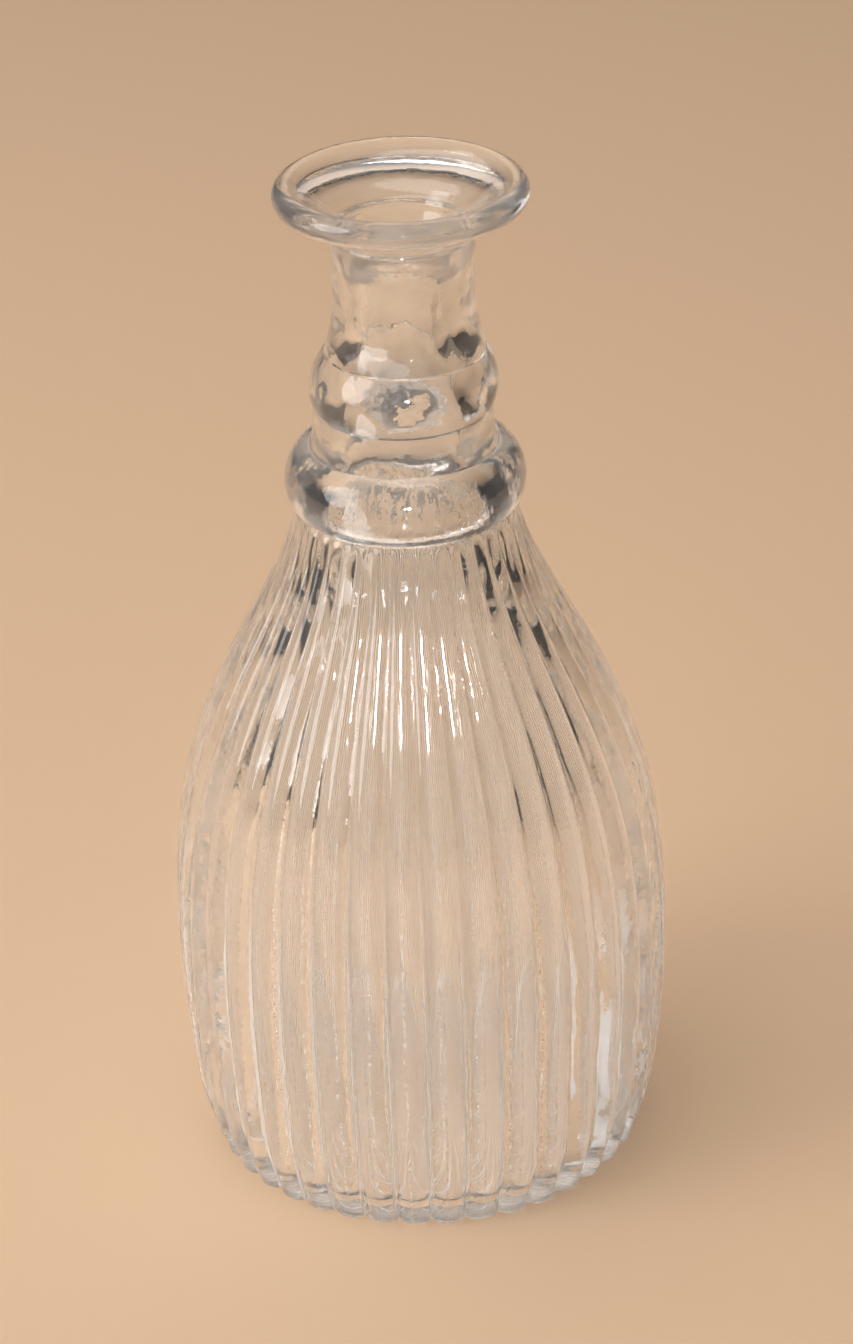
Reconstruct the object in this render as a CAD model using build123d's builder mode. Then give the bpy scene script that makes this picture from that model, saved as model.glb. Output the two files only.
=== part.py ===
"""Antique ribbed glass bottle, open and without a stopper.

Millimetres, +Z up, origin at the centre of the foot on the resting plane.
Five pieces of clear glass, fused face to face: a rib-moulded body, a plain
neck, two applied rings and an applied pouring lip.
"""
from build123d import *
from math import cos, sin, pi
import os

os.makedirs("parts", exist_ok=True)

# ---------------------------------------------------------------- dimensions
TOTAL_HEIGHT = 220.0          # foot to top of the lip
BODY_TOP = 149.5              # body ends under the shoulder ring
LIP_SEAM = 209.5              # neck ends, lip begins

# ribbed body
RIB_COUNT = 40
RIB_DEPTH = 0.042             # groove depth as a share of the radius over the ribs
FOOT_RADIUS = 47.3
BELLY_RADIUS = 53.1
BELLY_HEIGHT = 47.0
BODY_TOP_RADIUS = 22.9
HEEL_ROUND = 1.2              # height of the softened edge where a rib meets the foot
HEEL_INSET = 0.7

# hollow of the body
PUNT_RADIUS = 34.0            # shallow kick-up under the foot
PUNT_RISE = 2.6
FLOOR_EDGE = 3.2              # glass thickness just inside the heel
FLOOR_CENTRE = 5.5
FLOOR_RADIUS = 36.0
WALL_FOOT = (46.5, 15.0)      # where the inner corner has run into the wall
BODY_TOP_BORE = 16.6

# neck
NECK_FOOT_RADIUS = 19.2       # plain stretch inside the shoulder ring
NECK_WAIST_RADIUS = 18.45
NECK_THROAT_RADIUS = 14.5
NECK_TOP_RADIUS = 15.0
THROAT_BORE = 8.0             # true cylinder, where a stopper or a cork would sit
THROAT_BOTTOM = 189.0
THROAT_TOP = 199.0
FUNNEL_RADIUS = 12.0          # mouth funnel where the lip is joined on

# applied rings
SHOULDER_RING_RADIUS = 24.9
SHOULDER_RING_TOP = 163.5
NECK_RING_RADIUS = 19.3
NECK_RING_BOTTOM = 171.5
NECK_RING_TOP = 184.0
NECK_RING_SEAT_TOP = 16.3     # radius of the neck where the ring runs out above

# pouring lip
BEAD_RADIUS = 2.8             # half thickness of the rounded edge
BEAD_CENTRE_RADIUS = 22.9

# Radius over the ribs at each height of the body: only the points that shape it.
BODY_STATIONS = [
    (0.0, FOOT_RADIUS),
    (12.0, 50.4),
    (28.0, 52.2),
    (BELLY_HEIGHT, BELLY_RADIUS),
    (67.0, 52.4),
    (88.0, 49.0),
    (108.0, 41.5),
    (127.0, 31.6),
    (141.0, 25.2),
    (BODY_TOP, BODY_TOP_RADIUS),
]


def rib_point(radius, turn):
    """Point on a circle, turn counted in ribs from the groove on +X."""
    angle = 2 * pi * turn / RIB_COUNT
    return (radius * cos(angle), radius * sin(angle))


# ---------------------------------------------------------------- ribbed body
with BuildPart() as ribbed_body:
    # Rounded reeds side by side, with a sharp groove between each pair.
    for height, crest in BODY_STATIONS:
        groove = crest * (1 - RIB_DEPTH)
        with BuildSketch(Plane.XY.offset(height)):
            with BuildLine():
                for rib in range(RIB_COUNT):
                    ThreePointArc(
                        rib_point(groove, rib),
                        rib_point(crest, rib + 0.5),
                        rib_point(groove, rib + 1),
                    )
            make_face()
    loft()

    # Heel: the rib ends are softened where they meet the resting plane.
    with BuildSketch(Plane.XZ):
        with BuildLine():
            heel = Line((0, 0), (FOOT_RADIUS - HEEL_INSET, 0))
            curve = RadiusArc(heel @ 1, (FOOT_RADIUS + 0.5, HEEL_ROUND * 1.6), -2.2)
            Polyline(
                curve @ 1,
                (BELLY_RADIUS + 5, HEEL_ROUND * 1.6 + 12),
                (BELLY_RADIUS + 5, BODY_TOP),
                (0, BODY_TOP),
                (0, 0),
            )
        make_face()
    revolve(axis=Axis.Z, mode=Mode.INTERSECT)

    # Hollow inside.
    with BuildSketch(Plane.XZ):
        with BuildLine():
            floor = Spline(
                (0, FLOOR_CENTRE),
                (20, 4.7),
                (FLOOR_RADIUS, FLOOR_EDGE),
                tangents=[(1, 0), (1, -0.04)],
            )
            cove = Spline(
                floor @ 1,
                (42.6, 3.9),
                (45.4, 7.6),
                WALL_FOOT,
                tangents=[(1, -0.04), (0.09, 1)],
            )
            wall = Spline(
                cove @ 1,
                (48.3, 47.0),
                (47.5, 67.0),
                (44.2, 88.0),
                (36.6, 108.0),
                (26.6, 127.0),
                (19.6, 140.5),
                (BODY_TOP_BORE, BODY_TOP),
                tangents=[(0.09, 1), (-0.28, 1)],
            )
            Polyline(wall @ 1, (0, BODY_TOP), (0, FLOOR_CENTRE))
        make_face()
    revolve(axis=Axis.Z, mode=Mode.SUBTRACT)

    # Shallow punt, so that the bottle stands on a flat ring.
    with BuildSketch(Plane.XZ):
        with BuildLine():
            Spline((0, PUNT_RISE), (PUNT_RADIUS, 0), tangents=[(1, 0), (1, -0.12)])
            Polyline((PUNT_RADIUS, 0), (PUNT_RADIUS, -5), (0, -5), (0, PUNT_RISE))
        make_face()
    revolve(axis=Axis.Z, mode=Mode.SUBTRACT)

# ---------------------------------------------------------------- neck
with BuildPart() as neck:
    with BuildSketch(Plane.XZ):
        with BuildLine():
            foot = Line((BODY_TOP_BORE, BODY_TOP), (NECK_FOOT_RADIUS, BODY_TOP))
            inside_ring = Line(foot @ 1, (NECK_FOOT_RADIUS, SHOULDER_RING_TOP))
            waist = Spline(
                inside_ring @ 1,
                (NECK_WAIST_RADIUS, NECK_RING_BOTTOM),
                tangents=[(-0.25, 1), (0, 1)],
            )
            seat = Line(waist @ 1, (NECK_RING_SEAT_TOP, NECK_RING_TOP))
            upper = Spline(
                seat @ 1,
                (NECK_THROAT_RADIUS, 195.0),
                (NECK_TOP_RADIUS, LIP_SEAM),
                tangents=[(-0.25, 1), (0.12, 1)],
            )
            top = Line(upper @ 1, (FUNNEL_RADIUS, LIP_SEAM))
            funnel = Spline(
                top @ 1,
                (THROAT_BORE, THROAT_TOP),
                tangents=[(-0.5, -1), (0, -1)],
            )
            bore = Line(funnel @ 1, (THROAT_BORE, THROAT_BOTTOM))
            Spline(
                bore @ 1,
                (10.2, 183.0),
                (12.0, 176.5),
                (12.9, 166.0),
                foot @ 0,
                tangents=[(0, -1), (0.4, -1)],
            )
        make_face()
    revolve(axis=Axis.Z)

# ---------------------------------------------------------------- shoulder ring
with BuildPart() as shoulder_ring:
    with BuildSketch(Plane.XZ):
        with BuildLine():
            seat = Line((NECK_FOOT_RADIUS, BODY_TOP), (BODY_TOP_RADIUS - 0.8, BODY_TOP))
            Spline(
                seat @ 1,
                (SHOULDER_RING_RADIUS, 156.0),
                (NECK_FOOT_RADIUS, SHOULDER_RING_TOP),
                tangents=[(0.9, 0.7), (-1, 0.18)],
            )
            Line((NECK_FOOT_RADIUS, SHOULDER_RING_TOP), seat @ 0)
        make_face()
    revolve(axis=Axis.Z)

# ---------------------------------------------------------------- neck ring
with BuildPart() as neck_ring:
    with BuildSketch(Plane.XZ):
        with BuildLine():
            Line((NECK_WAIST_RADIUS, NECK_RING_BOTTOM), (NECK_RING_SEAT_TOP, NECK_RING_TOP))
            Spline(
                (NECK_RING_SEAT_TOP, NECK_RING_TOP),
                (NECK_RING_RADIUS, 177.0),
                (NECK_WAIST_RADIUS, NECK_RING_BOTTOM),
                tangents=[(0.75, -1), (-0.35, -1)],
            )
        make_face()
    revolve(axis=Axis.Z)

# ---------------------------------------------------------------- pouring lip
BEAD_HEIGHT = TOTAL_HEIGHT - BEAD_RADIUS

with BuildPart() as pouring_lip:
    with BuildSketch(Plane.XZ):
        with BuildLine():
            seam = Line((FUNNEL_RADIUS, LIP_SEAM), (NECK_TOP_RADIUS, LIP_SEAM))
            under = Spline(
                seam @ 1,
                (BEAD_CENTRE_RADIUS, BEAD_HEIGHT - BEAD_RADIUS),
                tangents=[(0.45, 1), (1, 0.12)],
            )
            bead = ThreePointArc(
                under @ 1,
                (BEAD_CENTRE_RADIUS + BEAD_RADIUS, BEAD_HEIGHT),
                (BEAD_CENTRE_RADIUS, TOTAL_HEIGHT),
            )
            Spline(
                bead @ 1,
                (BEAD_CENTRE_RADIUS - 2.3, TOTAL_HEIGHT - 1.3),
                (16.6, 214.6),
                seam @ 0,
                tangents=[(-1, 0), (-0.5, -1)],
            )
        make_face()
    revolve(axis=Axis.Z)

# ---------------------------------------------------------------- output
ribbed_body.part.label = "ribbed_body"
neck.part.label = "neck"
shoulder_ring.part.label = "shoulder_ring"
neck_ring.part.label = "neck_ring"
pouring_lip.part.label = "pouring_lip"

export_step(ribbed_body.part, "parts/ribbed_body.step")
export_step(neck.part, "parts/neck.step")
export_step(shoulder_ring.part, "parts/shoulder_ring.step")
export_step(neck_ring.part, "parts/neck_ring.step")
export_step(pouring_lip.part, "parts/pouring_lip.step")

GLASS_DENSITY = 2.9e-3        # lead glass, g per cubic millimetre
for piece in (ribbed_body, neck, shoulder_ring, neck_ring, pouring_lip):
    size = piece.part.bounding_box().size
    mass = piece.part.volume * GLASS_DENSITY
    print(f"{piece.part.label}: {size.X:.1f} x {size.Y:.1f} x {size.Z:.1f} mm, {mass:.0f} g")
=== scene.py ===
import math

import bpy
import numpy as np
from mathutils import Matrix, Vector, noise


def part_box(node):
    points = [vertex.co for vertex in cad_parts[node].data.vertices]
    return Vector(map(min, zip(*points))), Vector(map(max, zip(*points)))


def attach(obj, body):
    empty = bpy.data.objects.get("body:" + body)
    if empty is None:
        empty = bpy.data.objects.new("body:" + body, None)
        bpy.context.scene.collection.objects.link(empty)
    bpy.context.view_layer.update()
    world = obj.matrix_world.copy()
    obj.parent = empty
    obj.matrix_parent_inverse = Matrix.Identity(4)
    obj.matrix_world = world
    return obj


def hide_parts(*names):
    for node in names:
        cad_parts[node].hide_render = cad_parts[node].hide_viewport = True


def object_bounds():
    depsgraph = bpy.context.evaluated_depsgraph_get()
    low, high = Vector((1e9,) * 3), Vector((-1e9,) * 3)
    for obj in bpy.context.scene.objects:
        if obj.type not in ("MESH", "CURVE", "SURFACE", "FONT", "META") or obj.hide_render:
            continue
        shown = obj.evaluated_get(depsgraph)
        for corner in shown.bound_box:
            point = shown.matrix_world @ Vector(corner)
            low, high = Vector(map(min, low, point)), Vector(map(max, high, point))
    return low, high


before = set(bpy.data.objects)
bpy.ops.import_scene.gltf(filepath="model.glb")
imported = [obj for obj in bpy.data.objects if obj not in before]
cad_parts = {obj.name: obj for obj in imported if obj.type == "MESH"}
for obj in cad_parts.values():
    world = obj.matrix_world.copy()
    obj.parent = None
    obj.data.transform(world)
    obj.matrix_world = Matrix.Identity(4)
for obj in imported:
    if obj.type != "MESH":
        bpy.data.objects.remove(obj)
cad_low, cad_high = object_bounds()
TALL = cad_high.z - cad_low.z

# ------------------------------------------------------------------ sizes from the CAD frame, in mm
MM = 0.001
HEIGHT = TALL / MM
BODY_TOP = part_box("ribbed_body")[1].z / MM  # the body ends under the shoulder ring
LIP_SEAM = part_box("pouring_lip")[0].z / MM  # the neck ends and the lip begins
LIP_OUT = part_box("pouring_lip")[1].x / MM
RING_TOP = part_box("shoulder_ring")[1].z / MM
RING_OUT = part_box("shoulder_ring")[1].x / MM
BAND_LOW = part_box("neck_ring")[0].z / MM
BAND_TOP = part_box("neck_ring")[1].z / MM
BAND_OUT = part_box("neck_ring")[1].x / MM

# ------------------------------------------------------------------ sizes that the pieces share, in mm
RING_FOOT = 22.5  # radius where the ribs end and the shoulder ring begins
RING_MIDDLE = 156.0  # height where the shoulder ring is widest
BAND_MIDDLE = 177.0  # height where the neck ring is widest
NECK_FOOT = 19.2  # outer radius of the neck inside the shoulder ring
NECK_WAIST = 18.45  # its radius where it goes under the neck ring
SEAT_TOP = 16.3  # its radius where it comes out again
NECK_TOP = 15.0  # its radius under the lip
BORE_TOP = 16.6  # radius of the bore where body and neck meet
THROAT = 8.0  # radius of the narrowest bore
THROAT_LOW, THROAT_TOP = 189.0, 199.0  # its heights
FUNNEL = 12.0  # radius of the bore at the top of the neck
FLOOR_CENTRE, FLOOR_EDGE = 5.5, 3.2  # heights of the inner floor
FLOOR_RADIUS = 36.0  # where the inner floor curves up
WALL_FOOT = (46.5, 15.0)  # radius and height where the inner wall begins

RIBS = 40
POINTS_PER_RIB = 14
AROUND = 256  # points round a piece without ribs
RIB_DEPTH = 0.042  # groove depth, as a share of the radius
REED_EDGE = 0.88  # how far round its own circle a reed meets the next one
SEED = Vector((11.3, 4.7, 8.1))


# ------------------------------------------------------------------ curves
def spline(points, count, start=None, end=None):
    """Smooth cubic through points, evenly spaced along its length. start and end are end directions."""
    p = np.array(points, float)
    gaps = np.hypot(*np.diff(p, axis=0).T)
    t = np.concatenate([[0], np.cumsum(gaps)])
    n = len(p)
    a = np.zeros((n, n))
    b = np.zeros((n, 2))
    for i in range(1, n - 1):
        h0, h1 = gaps[i - 1], gaps[i]
        a[i, i - 1], a[i, i], a[i, i + 1] = 1 / h0, 2 / h0 + 2 / h1, 1 / h1
        b[i] = 3 * ((p[i] - p[i - 1]) / h0**2 + (p[i + 1] - p[i]) / h1**2)
    for row, h, way, q in ((0, gaps[0], start, 1), (n - 1, gaps[-1], end, n - 2)):
        a[row, row] = 1
        if way is None:
            a[row, row], a[row, q] = 2, 1
            b[row] = 3 * (p[max(row, q)] - p[min(row, q)]) / h
        else:
            b[row] = np.array(way, float) / np.hypot(*way)
    m = np.linalg.solve(a, b)

    def at(u):
        i = np.clip(np.searchsorted(t, u, side="right") - 1, 0, n - 2)
        h = gaps[i][:, None]
        s = ((u - t[i]) / gaps[i])[:, None]
        return (
            (2 * s**3 - 3 * s**2 + 1) * p[i]
            + (s**3 - 2 * s**2 + s) * h * m[i]
            + (-2 * s**3 + 3 * s**2) * p[i + 1]
            + (s**3 - s**2) * h * m[i + 1]
        )

    fine = at(np.linspace(0, t[-1], 60 * n))
    run = np.concatenate([[0], np.cumsum(np.hypot(*np.diff(fine, axis=0).T))])
    want = np.linspace(0, run[-1], count)
    return [(np.interp(w, run, fine[:, 0]), np.interp(w, run, fine[:, 1])) for w in want]


def smooth_step(x, low, high):
    x = min(max((x - low) / (high - low), 0.0), 1.0)
    return x * x * (3 - 2 * x)


def round_the_axis(angle, size, height):
    """Where noise is read for a point of a turned piece."""
    return Vector((math.cos(angle) * size, math.sin(angle) * size, height)) + SEED


# ------------------------------------------------------------------ hand-made unevenness
SWELL = 0.006  # share of the radius
SWELL_TURN, SWELL_RISE = 0.8, 70.0  # how slowly the swelling changes round the axis and upwards
NECK_LEAN, FOOT_LEAN = 0.9, 0.45  # sideways shift in mm
NECK_LEAN_FROM, NECK_LEAN_TO = 168, 190  # heights between which the neck's shift grows
FOOT_LEAN_FROM, FOOT_LEAN_TO = 40, 130  # heights between which the foot's shift fades


def place(radius, angle, height):
    """A point of the glass in metres. Every piece swells and leans alike, so that seams stay shut."""
    where = round_the_axis(angle, SWELL_TURN, height / SWELL_RISE)
    r = radius * (1 + noise.noise(where) * SWELL)
    neck_lean = NECK_LEAN * smooth_step(height, NECK_LEAN_FROM, NECK_LEAN_TO)
    foot_lean = FOOT_LEAN * (1 - smooth_step(height, FOOT_LEAN_FROM, FOOT_LEAN_TO))
    return (
        (r * math.cos(angle) + neck_lean + foot_lean) * MM,
        r * math.sin(angle) * MM,
        height * MM,
    )


# ------------------------------------------------------------------ turned pieces
GLASS_SLOT, SEAM_SLOT = 0, 1
ON_AXIS = 1e-6


def free(points):
    """Rows of a profile whose faces are open to the air."""
    return [(r, z, False) for r, z in points]


def fused(r, z):
    """One row of a profile, where the faces up to the next row touch another piece."""
    return [(r, z, True)]


def turned(name, rows, around, node, shape=None):
    """Closed mesh from rows (radius, height, fused) round the axis. shape may move each point."""
    verts, faces, slots = [], [], []
    index = []
    for k, (r, z, _) in enumerate(rows):
        if r < ON_AXIS:
            index.append([len(verts)] * around)
            verts.append(place(0, 0, z))
            continue
        index.append(list(range(len(verts), len(verts) + around)))
        for j in range(around):
            angle = 2 * math.pi * j / around
            radius = shape(k, r, z, angle) if shape else r
            verts.append(place(radius, angle, z))
    is_ring = rows[0][0] > ON_AXIS
    strips = len(rows) if is_ring else len(rows) - 1
    for k in range(strips):
        low, high = index[k], index[(k + 1) % len(rows)]
        for j in range(around):
            q = (j + 1) % around
            if low[j] == low[q]:
                faces.append((low[j], high[q], high[j]))
            elif high[j] == high[q]:
                faces.append((low[j], low[q], high[j]))
            else:
                faces.append((low[j], low[q], high[q], high[j]))
            slots.append(SEAM_SLOT if rows[k][2] else GLASS_SLOT)
    mesh = bpy.data.meshes.new(name)
    mesh.from_pydata(verts, [], faces)
    mesh.validate()
    mesh.polygons.foreach_set("use_smooth", [True] * len(mesh.polygons))
    mesh.polygons.foreach_set("material_index", slots)
    mesh.update()
    obj = bpy.data.objects.new(name, mesh)
    bpy.context.scene.collection.objects.link(obj)
    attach(obj, "root")
    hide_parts(node)
    return obj


# ------------------------------------------------------------------ ribbed body
punt = spline([(34.0, 0.0), (0.0, 2.6)], 8, (-1, 0.12), (-1, 0))
rest_edge = [(40.0, 0.0)]
heel = [(46.6, 0.0), (46.95, 0.08), (47.2, 0.3), (47.35, 0.7)]
outer_body = spline(
    [
        (47.6, 2.0),
        (50.4, 12.0),
        (52.2, 28.0),
        (53.1, 47.0),
        (52.4, 67.0),
        (49.0, 88.0),
        (41.5, 108.0),
        (31.6, 127.0),
        (25.2, 141.0),
        (RING_FOOT, BODY_TOP),
    ],
    76,
)
inner_wall = spline(
    [
        WALL_FOOT,
        (48.3, 47.0),
        (47.5, 67.0),
        (44.2, 88.0),
        (36.6, 108.0),
        (26.6, 127.0),
        (19.6, 140.5),
        (BORE_TOP, BODY_TOP),
    ],
    72,
    (0.09, 1),
    (-0.28, 1),
)
cove = spline(
    [(FLOOR_RADIUS, FLOOR_EDGE), (42.6, 3.9), (45.4, 7.6), WALL_FOOT], 22, (1, -0.04), (0.09, 1)
)
inner_floor = spline(
    [(0.0, FLOOR_CENTRE), (20.0, 4.7), (FLOOR_RADIUS, FLOOR_EDGE)], 16, (1, 0), (1, -0.04)
)

under_foot = free(punt[::-1]) + free(rest_edge)
outside = free(heel) + free(outer_body[:-1])
neck_seam = fused(RING_FOOT, BODY_TOP) + fused(NECK_FOOT, BODY_TOP)
inside = free(inner_wall[::-1]) + free(cove[::-1][1:]) + free(inner_floor[::-1][1:])
BODY_OUTSIDE = range(len(under_foot), len(under_foot) + len(outside))
BODY_INSIDE_FIRST = len(under_foot) + len(outside) + len(neck_seam)

RIBS_FADE_FROM, RIBS_FADE = 145.5, 0.85  # the ribs get shallower under the shoulder ring
ECHO, RIPPLE = 0.18, 0.22  # depth on the inner wall, in mm
ECHO_FROM, ECHO_TO = 12, 30  # heights between which the echo of the ribs grows
RIPPLE_FROM, RIPPLE_TO = 10, 22
RIPPLE_SIZE = 9.0
INSIDE_CALM_FROM = 138  # above this the inner wall gets true again


def body_shape(k, r, z, angle):
    """Rounded reeds outside; inside, a slight echo of them and a whittled ripple."""
    if k in BODY_OUTSIDE:
        phase = (angle * RIBS / (2 * math.pi)) % 1.0
        across = abs(2 * phase - 1)
        reed = math.sqrt(max(0.0, 1 - (REED_EDGE * across) ** 2))
        lowest = math.sqrt(1 - REED_EDGE**2)
        dip = 1 - (reed - lowest) / (1 - lowest)
        fade = 1 - smooth_step(z, RIBS_FADE_FROM, BODY_TOP) * RIBS_FADE
        return r * (1 - RIB_DEPTH * fade * dip)
    if k >= BODY_INSIDE_FIRST and z > RIPPLE_FROM:
        echo = ECHO * math.cos(angle * RIBS) * smooth_step(z, ECHO_FROM, ECHO_TO)
        where = round_the_axis(angle, RIPPLE_SIZE, z / RIPPLE_SIZE)
        ripple = RIPPLE * noise.noise(where) * smooth_step(z, RIPPLE_FROM, RIPPLE_TO)
        keep = 1 - smooth_step(z, INSIDE_CALM_FROM, BODY_TOP)
        return r + (echo + ripple) * keep
    return r


body = turned(
    "ribbed_body_glass",
    under_foot + outside + neck_seam + inside,
    RIBS * POINTS_PER_RIB,
    "ribbed_body",
    body_shape,
)

# ------------------------------------------------------------------ neck
under_ring = spline([(NECK_FOOT, RING_TOP), (NECK_WAIST, BAND_LOW)], 9, (-0.25, 1), (0, 1))
above_band = spline(
    [(SEAT_TOP, BAND_TOP), (14.5, 195.0), (NECK_TOP, LIP_SEAM)], 24, (-0.25, 1), (0.12, 1)
)
neck_outside = (
    fused(BORE_TOP, BODY_TOP)
    + fused(NECK_FOOT, BODY_TOP)
    + free(under_ring[:-1])
    + fused(NECK_WAIST, BAND_LOW)
    + free(above_band[:-1])
    + fused(NECK_TOP, LIP_SEAM)
)
funnel = spline([(FUNNEL, LIP_SEAM), (THROAT, THROAT_TOP)], 10, (-0.5, -1), (0, -1))
throat = [(THROAT, THROAT_TOP + (THROAT_LOW - THROAT_TOP) * i / 8) for i in range(9)]
bore = spline(
    [(THROAT, THROAT_LOW), (10.2, 183.0), (12.0, 176.5), (12.9, 166.0), (BORE_TOP, BODY_TOP)],
    36,
    (0, -1),
    (0.4, -1),
)
neck_inside = free(funnel[:-1]) + free(throat) + free(bore[1:-1])

BORE_UNEVEN = 0.9  # depth in mm
UNEVEN_FROM, UNEVEN_FULL = 152.0, 160.0  # heights between which the unevenness grows
UNEVEN_FADING, UNEVEN_TO = 196.0, 201.0  # heights between which it fades
LUMP_TURN, LUMP_RISE = 1.3, 9.0  # how it changes round the axis and upwards
SMALL_LUMPS, SMALLER = 0.35, 2.3  # share and scale of the finer lumps on top


def neck_shape(k, r, z, angle):
    """The inside of a hand-worked neck is never quite true."""
    if k >= len(neck_outside) and UNEVEN_FROM < z < UNEVEN_TO:
        grown = smooth_step(z, UNEVEN_FROM, UNEVEN_FULL)
        keep = grown * (1 - smooth_step(z, UNEVEN_FADING, UNEVEN_TO))
        where = round_the_axis(angle, LUMP_TURN, z / LUMP_RISE)
        lumps = noise.noise(where) + SMALL_LUMPS * noise.noise(where * SMALLER)
        return r + lumps * BORE_UNEVEN * keep
    return r


neck = turned("neck_glass", neck_outside + neck_inside, AROUND, "neck", neck_shape)

# ------------------------------------------------------------------ rings
ring_curve = spline(
    [(RING_FOOT, BODY_TOP), (RING_OUT, RING_MIDDLE), (NECK_FOOT, RING_TOP)],
    26,
    (0.9, 0.7),
    (-1, 0.18),
)
ring = turned(
    "shoulder_ring_glass",
    fused(NECK_FOOT, BODY_TOP) + free(ring_curve[:-1]) + fused(NECK_FOOT, RING_TOP),
    AROUND,
    "shoulder_ring",
)

band_curve = spline(
    [(NECK_WAIST, BAND_LOW), (BAND_OUT, BAND_MIDDLE), (SEAT_TOP, BAND_TOP)],
    20,
    (0.35, 1),
    (-0.75, 1),
)
band = turned(
    "neck_ring_glass",
    free(band_curve[:-1]) + fused(SEAT_TOP, BAND_TOP),
    AROUND,
    "neck_ring",
)

# ------------------------------------------------------------------ pouring lip
BEAD = 2.8  # radius of the lip's rounded edge
BEAD_STEPS = 14
bead_r, bead_z = LIP_OUT - BEAD, HEIGHT - BEAD
bead = [
    (
        bead_r + BEAD * math.sin(math.pi * i / BEAD_STEPS),
        bead_z - BEAD * math.cos(math.pi * i / BEAD_STEPS),
    )
    for i in range(BEAD_STEPS + 1)
]
underside = spline([(NECK_TOP, LIP_SEAM), bead[0]], 14, (0.45, 1), (1, 0.12))
dish = spline(
    [bead[-1], (bead_r - 2.3, HEIGHT - 1.3), (16.6, 214.6), (FUNNEL, LIP_SEAM)],
    30,
    (-1, 0),
    (-0.5, -1),
)
lip = turned(
    "pouring_lip_glass",
    fused(FUNNEL, LIP_SEAM) + free(underside[:-1]) + free(bead[:-1]) + free(dish),
    AROUND,
    "pouring_lip",
)

# ------------------------------------------------------------------ shader helpers
def math_node(nt, operation, *values):
    node = nt.nodes.new("ShaderNodeMath")
    node.operation = operation
    for i, value in enumerate(values):
        if isinstance(value, (int, float)):
            node.inputs[i].default_value = value
        else:
            nt.links.new(value, node.inputs[i])
    return node.outputs[0]


def ramp(nt, value, start, end, low=0.0, high=1.0):
    """Smooth change from low to high while value goes from start to end."""
    node = nt.nodes.new("ShaderNodeMapRange")
    node.interpolation_type = "SMOOTHSTEP"
    for name, number in (("From Min", start), ("From Max", end), ("To Min", low), ("To Max", high)):
        node.inputs[name].default_value = number
    nt.links.new(value, node.inputs["Value"])
    return node.outputs["Result"]


def noise_node(nt, vector, scale, detail=2.0):
    node = nt.nodes.new("ShaderNodeTexNoise")
    node.inputs["Scale"].default_value = scale
    node.inputs["Detail"].default_value = detail
    nt.links.new(vector, node.inputs["Vector"])
    return node.outputs["Fac"]


def bump_node(nt, height, strength, distance):
    node = nt.nodes.new("ShaderNodeBump")
    node.inputs["Strength"].default_value = strength
    node.inputs["Distance"].default_value = distance
    nt.links.new(height, node.inputs["Height"])
    return node.outputs["Normal"]


def mix_shaders(nt, factor, first, second):
    node = nt.nodes.new("ShaderNodeMixShader")
    nt.links.new(factor, node.inputs[0])
    nt.links.new(first, node.inputs[1])
    nt.links.new(second, node.inputs[2])
    return node.outputs[0]


# ------------------------------------------------------------------ glass
CLEARNESS = 0.985  # transmission weight of clean glass
PAINTED_LINES_STRENGTH = 0.72  # how much of it the painted highlight lines and specks take away
REFRACTION = 1.54
WANDER = 0.10  # how far the painted highlight lines stray from the grooves, in rib widths
GROOVE_PHASE = 10.45  # with half of the wander, a whole number and a half
WHITTLE_SCALE, WHITTLE_DEPTH = 330.0, 0.0004
SPARKLE_SCALE, SPARKLE_DEPTH, SPARKLE = 250.0, 0.0006, 0.35
LAMP_LIGHT_PASSED = (0.7, 0.7, 0.7, 1)  # share of a lamp's light that each surface lets through


def painted_highlight_lines(nt, coords):
    """Transmission weight of the ribbed glass, with painted highlights: pale lines low in the grooves and
    pale specks along the crests, which stand in for glints of light on the ribs.
    """
    xyz = nt.nodes.new("ShaderNodeSeparateXYZ")
    nt.links.new(coords, xyz.inputs[0])
    height = xyz.outputs["Z"]
    turn = math_node(nt, "ARCTAN2", xyz.outputs["Y"], xyz.outputs["X"])
    turn = math_node(nt, "MULTIPLY", turn, RIBS / (2 * math.pi))
    wander = noise_node(nt, coords, 90.0, 3.0)
    turn = math_node(nt, "ADD", turn, math_node(nt, "MULTIPLY", wander, WANDER))
    phase = math_node(nt, "FRACT", math_node(nt, "ADD", turn, GROOVE_PHASE))
    from_groove = math_node(nt, "ABSOLUTE", math_node(nt, "SUBTRACT", phase, 0.5))

    # painted highlight: pale, patchy lines low in the grooves
    line = ramp(nt, from_groove, 0.016, 0.036, 1.0, 0.0)
    low_down = ramp(nt, height, 0.045, 0.085, 1.0, 0.0)
    patches = noise_node(nt, coords, 38.0, 2.0)
    line = math_node(nt, "MULTIPLY", line, low_down)
    line = math_node(nt, "MULTIPLY", line, ramp(nt, patches, 0.30, 0.50, 0.5, 1.1))

    # painted glint: pale specks along the crests, strongest low down
    crest = ramp(nt, from_groove, 0.47, 0.49, 0.0, 1.0)
    glint_specks = noise_node(nt, coords, 900.0, 1.0)
    crest = math_node(nt, "MULTIPLY", crest, ramp(nt, glint_specks, 0.46, 0.56))
    crest = math_node(nt, "MULTIPLY", crest, ramp(nt, height, 0.07, 0.12, 0.35, 0.05))

    # less transmission shows as whitish glass here: these lines and specks are painted highlights
    painted_lines = math_node(nt, "MULTIPLY", math_node(nt, "MAXIMUM", line, crest), PAINTED_LINES_STRENGTH)
    return math_node(nt, "SUBTRACT", CLEARNESS, painted_lines)


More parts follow.
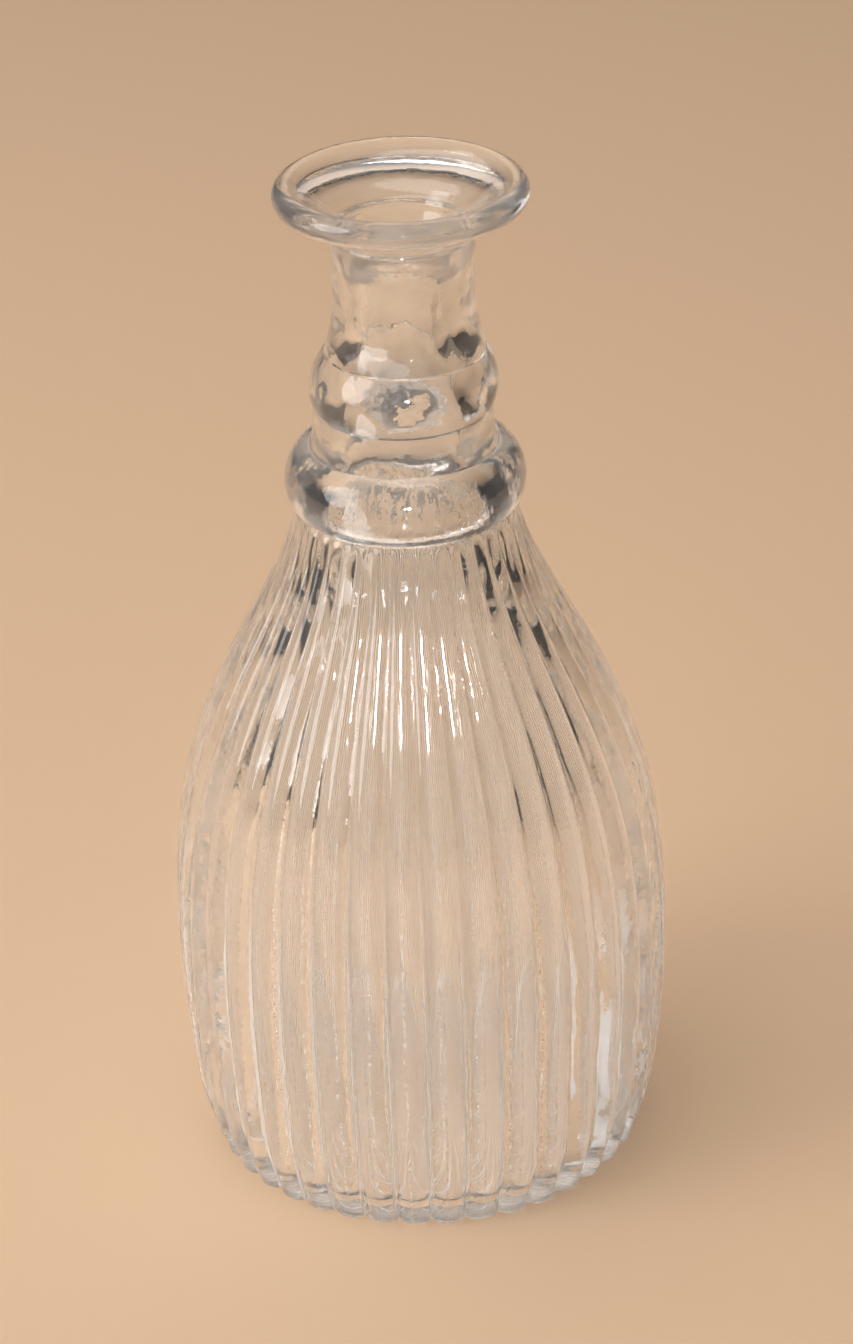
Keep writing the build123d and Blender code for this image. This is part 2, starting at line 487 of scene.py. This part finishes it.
def glass_material(name, ribbed, whittle):
    """Clear lead glass. whittle is how uneven its surface is."""
    mat = bpy.data.materials.new(name)
    mat.use_nodes = True
    nt = mat.node_tree
    bsdf = nt.nodes["Principled BSDF"]
    bsdf.inputs["Base Color"].default_value = (0.985, 0.99, 0.99, 1)
    bsdf.inputs["Roughness"].default_value = 0.0
    bsdf.inputs["IOR"].default_value = REFRACTION
    bsdf.inputs["Transmission Weight"].default_value = CLEARNESS
    bsdf.inputs["Coat Weight"].default_value = 0.6
    bsdf.inputs["Coat Roughness"].default_value = 0.04
    coords = nt.nodes.new("ShaderNodeTexCoord").outputs["Object"]
    # the ribbed body gets the painted highlight lines and specks
    if ribbed:
        nt.links.new(painted_highlight_lines(nt, coords), bsdf.inputs["Transmission Weight"])
    whittled = bump_node(nt, noise_node(nt, coords, WHITTLE_SCALE), whittle, WHITTLE_DEPTH)
    nt.links.new(whittled, bsdf.inputs["Normal"])
    specks = noise_node(nt, coords, SPARKLE_SCALE, 0.0)
    sparkle = bump_node(nt, specks, SPARKLE, SPARKLE_DEPTH)
    nt.links.new(sparkle, bsdf.inputs["Coat Normal"])

    to_lamp = nt.nodes.new("ShaderNodeLightPath").outputs["Is Shadow Ray"]
    let_through = nt.nodes.new("ShaderNodeBsdfTransparent")
    let_through.inputs["Color"].default_value = LAMP_LIGHT_PASSED
    shader = mix_shaders(nt, to_lamp, bsdf.outputs[0], let_through.outputs[0])
    nt.links.new(shader, nt.nodes["Material Output"].inputs["Surface"])
    return mat


def seam_material():
    """Invisible: where two pieces are fused there is no surface."""
    mat = bpy.data.materials.new("fused_seam")
    mat.use_nodes = True
    nt = mat.node_tree
    nt.nodes.clear()
    clear = nt.nodes.new("ShaderNodeBsdfTransparent")
    out = nt.nodes.new("ShaderNodeOutputMaterial")
    nt.links.new(clear.outputs["BSDF"], out.inputs["Surface"])
    return mat


body_glass = glass_material("ribbed_lead_glass", True, 0.16)
clear_glass = glass_material("clear_lead_glass", False, 0.25)
ring_glass = glass_material("trailed_lead_glass", False, 0.4)
seam = seam_material()

for piece, glass in (
    (body, body_glass),
    (neck, clear_glass),
    (ring, ring_glass),
    (band, clear_glass),
    (lip, clear_glass),
):
    piece.data.materials.append(glass)
    piece.data.materials.append(seam)

# ------------------------------------------------------------------ floor
BACKDROP = (0.64, 0.49, 0.37, 1)
FLOOR_REACH = 6.0
FLOOR_POINTS = 96
FLOOR_GAP = 0.00015  # clear of the foot, because two surfaces in one plane render black
FADE_START, FADE_END = 0.8, 1.8  # how far away the floor turns into the backdrop


def floor_material():
    """Pale paper that, as the camera sees it, fades into the backdrop far away."""
    mat = bpy.data.materials.new("pale_floor")
    mat.use_nodes = True
    nt = mat.node_tree
    paper = nt.nodes["Principled BSDF"]
    paper.inputs["Base Color"].default_value = (0.62, 0.43, 0.28, 1)
    paper.inputs["Roughness"].default_value = 0.7
    reach = nt.nodes.new("ShaderNodeVectorMath")
    reach.operation = "LENGTH"
    nt.links.new(nt.nodes.new("ShaderNodeTexCoord").outputs["Object"], reach.inputs[0])
    far = ramp(nt, reach.outputs["Value"], FADE_START, FADE_END)
    seen = nt.nodes.new("ShaderNodeLightPath").outputs["Is Camera Ray"]
    backdrop = nt.nodes.new("ShaderNodeEmission")
    backdrop.inputs["Color"].default_value = BACKDROP
    faded = math_node(nt, "MULTIPLY", far, seen)
    shader = mix_shaders(nt, faded, paper.outputs[0], backdrop.outputs[0])
    nt.links.new(shader, nt.nodes["Material Output"].inputs["Surface"])
    return mat


floor_turns = [2 * math.pi * i / FLOOR_POINTS for i in range(FLOOR_POINTS)]
floor_mesh = bpy.data.meshes.new("studio_floor")
floor_mesh.from_pydata(
    [(FLOOR_REACH * math.cos(a), FLOOR_REACH * math.sin(a), -FLOOR_GAP) for a in floor_turns],
    [],
    [tuple(range(FLOOR_POINTS))],
)
floor_mesh.materials.append(floor_material())
floor = bpy.data.objects.new("studio_floor", floor_mesh)
bpy.context.scene.collection.objects.link(floor)

# ------------------------------------------------------------------ surroundings
SURROUND = (0.035, 0.03, 0.027, 1)  # a dark room, which the glass bends into dark streaks
DARKEST = (0.008, 0.007, 0.006, 1)
GREY = (0.27, 0.26, 0.25, 1)
GLOW = (0.86, 0.68, 0.55, 1)

world = bpy.data.worlds.new("studio")
bpy.context.scene.world = world
world.use_nodes = True
room = world.node_tree
ray = room.nodes.new("ShaderNodeTexCoord").outputs["Generated"]


def towards(direction, start, end):
    """Mask that rises from 0 to 1 as a ray turns towards direction."""
    dot = room.nodes.new("ShaderNodeVectorMath")
    dot.operation = "DOT_PRODUCT"
    dot.inputs[1].default_value = Vector(direction).normalized()
    room.links.new(ray, dot.inputs[0])
    return ramp(room, dot.outputs["Value"], start, end)


def blend(mask, under, over):
    """Colour that goes from under to over where mask rises. Each is a colour or a socket."""
    mix = room.nodes.new("ShaderNodeMix")
    mix.data_type = "RGBA"
    room.links.new(mask, mix.inputs["Factor"])
    for value, socket in ((under, mix.inputs[6]), (over, mix.inputs[7])):
        if isinstance(value, tuple):
            socket.default_value = value
        else:
            room.links.new(value, socket)
    return mix.outputs[2]


tone = blend(towards((0, 0, 1), 0.30, 0.52), SURROUND, GREY)
tone = blend(towards((0, 0.78, 0.63), 0.90, 0.965), tone, GLOW)
tone = blend(towards((1, 0.12, 0.15), 0.66, 0.84), tone, DARKEST)
tone = blend(towards((0, -1, 0.45), 0.75, 0.95), tone, GREY)
seen = room.nodes.new("ShaderNodeLightPath").outputs["Is Camera Ray"]
background = room.nodes["Background"]
room.links.new(blend(seen, tone, BACKDROP), background.inputs["Color"])
background.inputs["Strength"].default_value = 1.0

bpy.context.scene.view_settings.view_transform = "Standard"
cycles = bpy.context.scene.cycles
cycles.max_bounces = 32
cycles.transmission_bounces = 32
cycles.glossy_bounces = 16
cycles.transparent_max_bounces = 32


# ------------------------------------------------------------------ lamps
def panel(name, at, size, power, colour):
    """Soft oval light that faces the middle of the bottle."""
    data = bpy.data.lights.new(name, "AREA")
    data.shape = "ELLIPSE"
    data.size, data.size_y = size
    data.energy = power
    data.color = colour
    obj = bpy.data.objects.new(name, data)
    bpy.context.scene.collection.objects.link(obj)
    obj.location = at
    obj.rotation_mode = "QUATERNION"
    middle = Vector((0, 0, 0.1))
    obj.rotation_quaternion = (middle - Vector(at)).to_track_quat("-Z", "Y")
    return obj


soft_top = panel("soft_top", (-0.5, -0.2, 1.5), (2.2, 2.2), 27, (1, 0.98, 0.95))
soft_top.visible_glossy = False
panel("soft_left", (-1.3, -0.5, 0.8), (0.9, 1.3), 9, (0.95, 0.97, 1))

# ------------------------------------------------------------------ camera
CAM_BACK, CAM_UP = 3.3663 * TALL, 2.3316 * TALL
PITCH, YAW, ROLL = math.radians(28.622), math.radians(0.236), math.radians(-1.808)
IMAGE_TALL = 1344  # pixels
FOCAL = 4000  # pixels
SENSOR = 36  # mm

forward = Vector(
    (math.sin(YAW) * math.cos(PITCH), math.cos(YAW) * math.cos(PITCH), -math.sin(PITCH))
)
level_right = Vector((math.cos(YAW), -math.sin(YAW), 0))
level_up = level_right.cross(forward)
right = math.cos(ROLL) * level_right + math.sin(ROLL) * level_up
up = -math.sin(ROLL) * level_right + math.cos(ROLL) * level_up

cam_data = bpy.data.cameras.new("camera")
cam_data.sensor_width = SENSOR
cam_data.lens = FOCAL / IMAGE_TALL * SENSOR
cam_data.clip_start, cam_data.clip_end = 0.01, 50
cam = bpy.data.objects.new("camera", cam_data)
bpy.context.scene.collection.objects.link(cam)
cam.matrix_world = Matrix(
    (
        (right.x, up.x, -forward.x, 0),
        (right.y, up.y, -forward.y, -CAM_BACK),
        (right.z, up.z, -forward.z, CAM_UP),
        (0, 0, 0, 1),
    )
)
bpy.context.scene.camera = cam

# ------------------------------------------------------------------ flash
FLASH_DROP = 0.05  # how far below the camera it is
flash_data = bpy.data.lights.new("flash", "POINT")
flash_data.energy = 20
flash_data.shadow_soft_size = 0.02
flash = bpy.data.objects.new("flash", flash_data)
bpy.context.scene.collection.objects.link(flash)
flash.location = Vector((0, -CAM_BACK, CAM_UP)) - up * FLASH_DROP
flash.visible_diffuse = False
